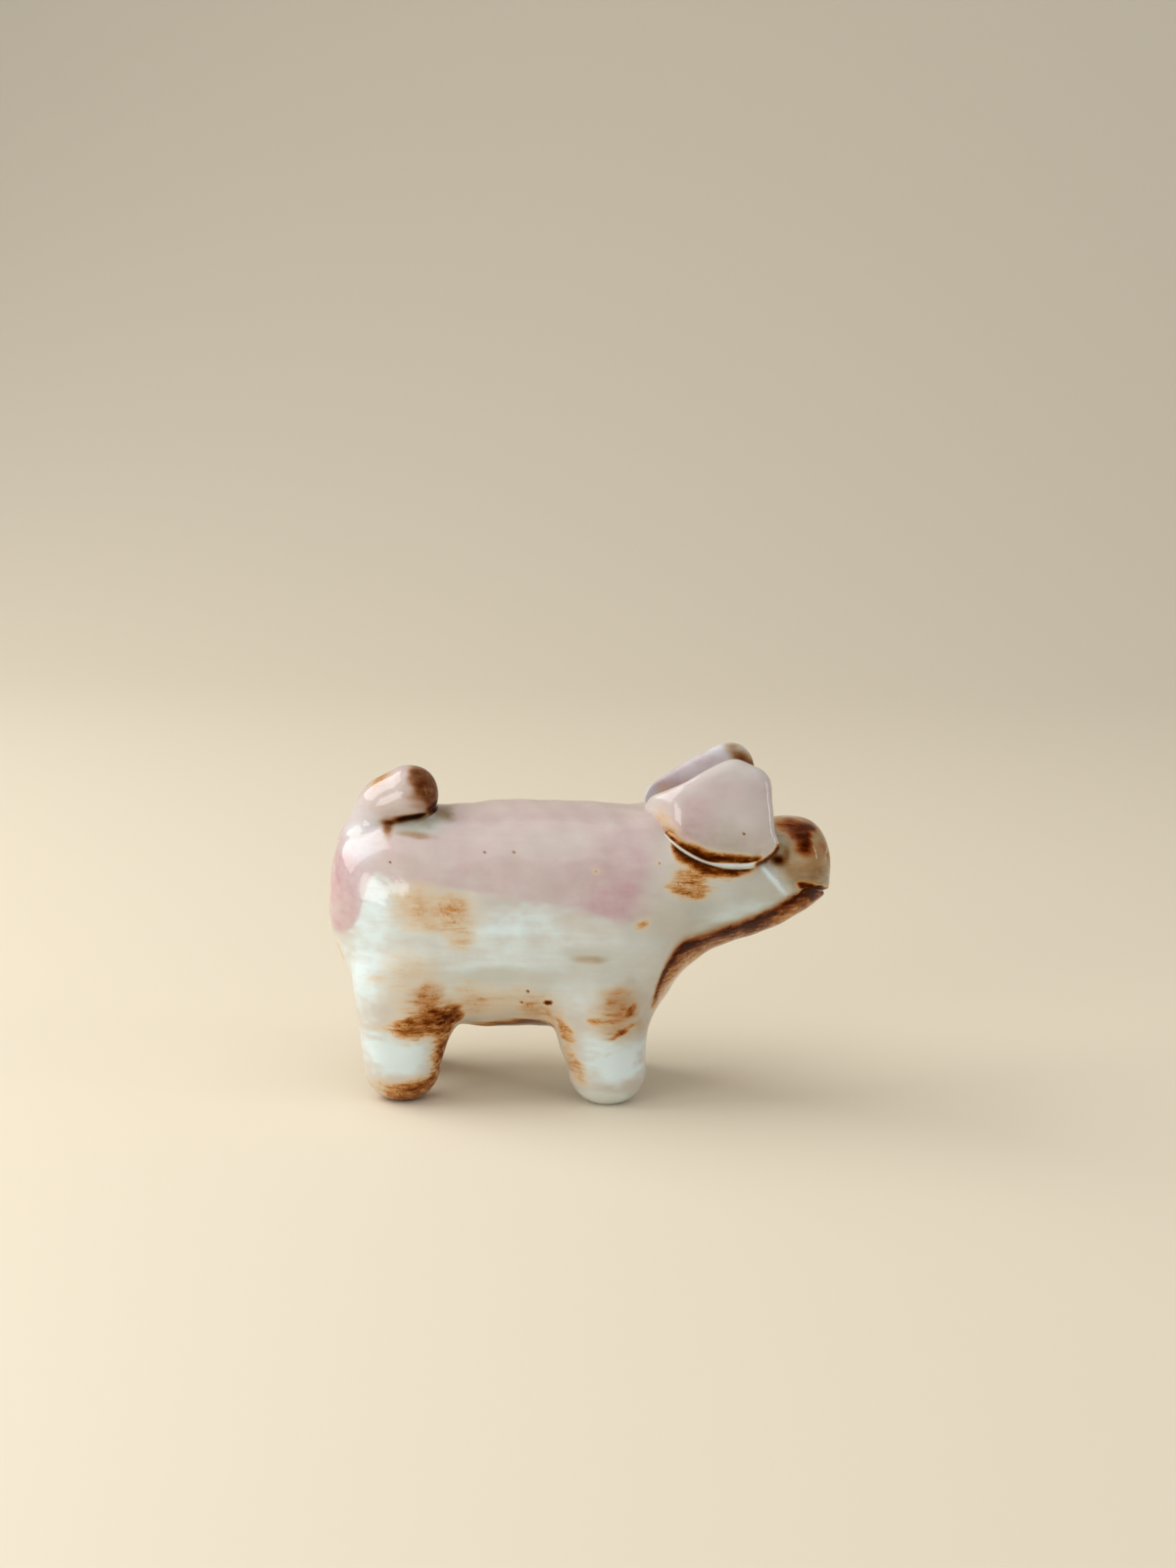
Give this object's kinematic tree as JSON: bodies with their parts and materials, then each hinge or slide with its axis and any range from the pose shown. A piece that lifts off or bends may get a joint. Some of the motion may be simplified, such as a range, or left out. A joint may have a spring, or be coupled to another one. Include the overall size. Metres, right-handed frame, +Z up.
{
  "type": "pig figurine",
  "caption": "Hand-built glazed stoneware pig ornament, a barrel body on short rolled legs, with petal ears, a domed snout over a slit mouth and a tail curled on its back.",
  "frame": {"origin": "on the table, under the middle of the bounding box", "axes": "+X towards the snout, +Y to the pig's left, +Z up from the table"},
  "size_m": [0.064, 0.024, 0.0445],
  "materials": {
    "torso_glaze": "glossy transparent stoneware glaze, milky white below and mauve pink on the back, with iron-brown stains",
    "head_glaze": "glossy milky glaze with an iron-brown stain under the jaw and below the ears",
    "snout_glaze": "glossy thin glaze, grey white, blotched iron brown",
    "tail_glaze": "glossy mauve-pink glaze, iron brown at the tip and in the crease",
    "ear_glaze": "glossy mauve-pink glaze with an iron-brown band along the lower rim",
    "leg_glaze": "glossy milky white glaze, worn to tan and iron brown at the foot and the inside of the leg"
  },
  "bodies": {
    "root": {"torso": "torso_glaze", "head": "head_glaze", "snout": "snout_glaze", "tail": "tail_glaze", "ear_right": "ear_glaze", "ear_left": "ear_glaze", "leg_front_right": "leg_glaze", "leg_front_left": "leg_glaze", "leg_hind_right": "leg_glaze", "leg_hind_left": "leg_glaze"}
  },
  "joints": []
}
